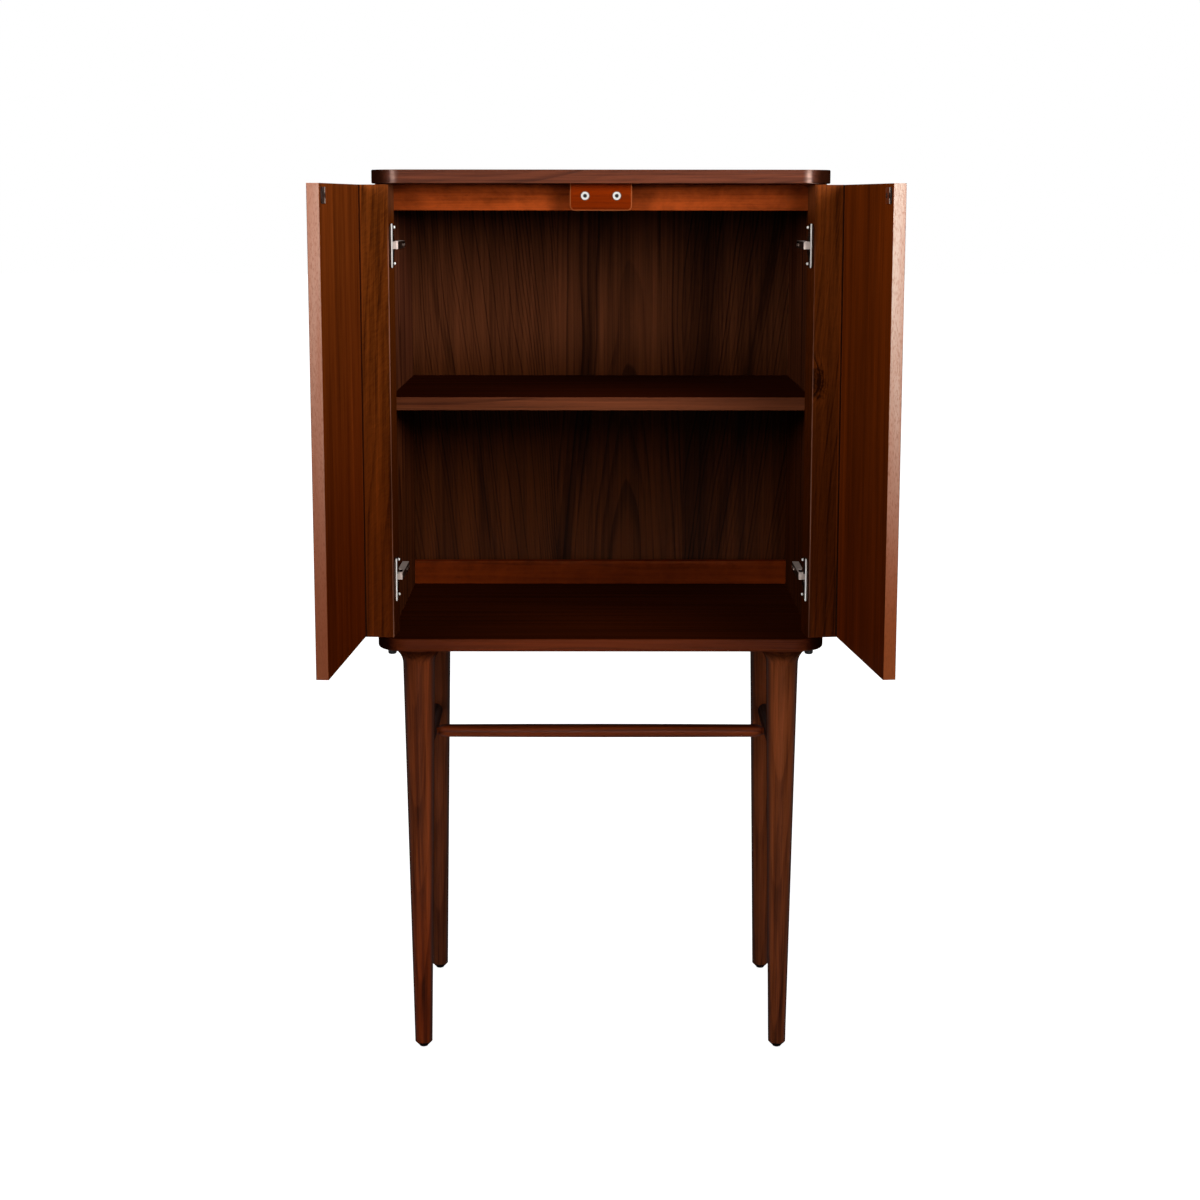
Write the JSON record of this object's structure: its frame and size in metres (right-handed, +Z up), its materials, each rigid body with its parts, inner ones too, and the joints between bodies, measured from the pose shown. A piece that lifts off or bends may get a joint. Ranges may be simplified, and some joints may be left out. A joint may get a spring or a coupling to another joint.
{
  "type": "storage cabinet on legs",
  "caption": "Storage cabinet on turned tapered legs with a stretcher, one shelf and wrap-round corner doors on concealed cup hinges, shown open.",
  "frame": {"origin": "on the floor, below the middle of the bounding box from the open doors' free edges to the cabinet's back", "axes": "+Z up, +Y towards the back, +X to the right as seen from the front"},
  "size_m": [0.7165, 0.6633, 1.23],
  "materials": {
    "walnut": "satin",
    "walnut_inside": "satin",
    "walnut_turned": "satin",
    "beech": "raw",
    "nickel": "nickel plated",
    "dark_steel": "satin",
    "black_steel": "satin",
    "black_plastic": "matte"
  },
  "bodies": {
    "carcass": {"top_panel": "walnut", "bottom_panel": "walnut", "left_side_panel": "walnut", "right_side_panel": "walnut", "back_panel": "walnut_inside", "shelf": "walnut_inside", "shelf_pins": "nickel", "front_top_rail": "walnut_inside", "rear_top_rail": "walnut_inside", "rear_bottom_rail": "walnut_inside", "panel_dowels": "beech", "side_bolts": "black_steel", "corner_studs": "black_plastic", "front_left_leg": "walnut_turned", "front_right_leg": "walnut_turned", "rear_left_leg": "walnut_turned", "rear_right_leg": "walnut_turned", "leg_glides": "black_plastic", "leg_hanger_bolts": "dark_steel", "left_side_stretcher": "walnut_turned", "right_side_stretcher": "walnut_turned", "cross_stretcher": "walnut_turned", "catch_block": "walnut_inside", "left_magnetic_catch": "nickel", "right_magnetic_catch": "nickel", "catch_screws": "nickel", "left_lower_hinge_arm": "nickel", "left_lower_mounting_plate": "nickel", "left_upper_hinge_arm": "nickel", "left_upper_mounting_plate": "nickel", "left_arm_screws": "nickel", "left_plate_screws": "nickel", "right_lower_hinge_arm": "nickel", "right_lower_mounting_plate": "nickel", "right_upper_hinge_arm": "nickel", "right_upper_mounting_plate": "nickel", "right_arm_screws": "nickel", "right_plate_screws": "nickel"},
    "left_door": {"left_door_post": "walnut", "left_door_panel": "walnut", "left_strike_plate": "dark_steel", "left_strike_screws": "dark_steel", "left_hinge_pins": "nickel", "left_cup_screws": "nickel", "left_lower_hinge_cup": "nickel", "left_upper_hinge_cup": "nickel"},
    "right_door": {"right_door_post": "walnut", "right_door_panel": "walnut", "right_strike_plate": "dark_steel", "right_strike_screws": "dark_steel", "right_hinge_pins": "nickel", "right_cup_screws": "nickel", "right_lower_hinge_cup": "nickel", "right_upper_hinge_cup": "nickel"}
  },
  "joints": [
    {"name": "left_door_hinge", "type": "hinge", "parent": "carcass", "child": "left_door", "pos_m": [-0.2908, -0.0448, 0.906], "axis": [0, 0, 1], "range_deg": [-3.1, 93.9]},
    {"name": "right_door_hinge", "type": "hinge", "parent": "carcass", "child": "right_door", "pos_m": [0.2908, -0.0448, 0.906], "axis": [0, 0, -1], "range_deg": [-0.5, 96.5]}
  ]
}
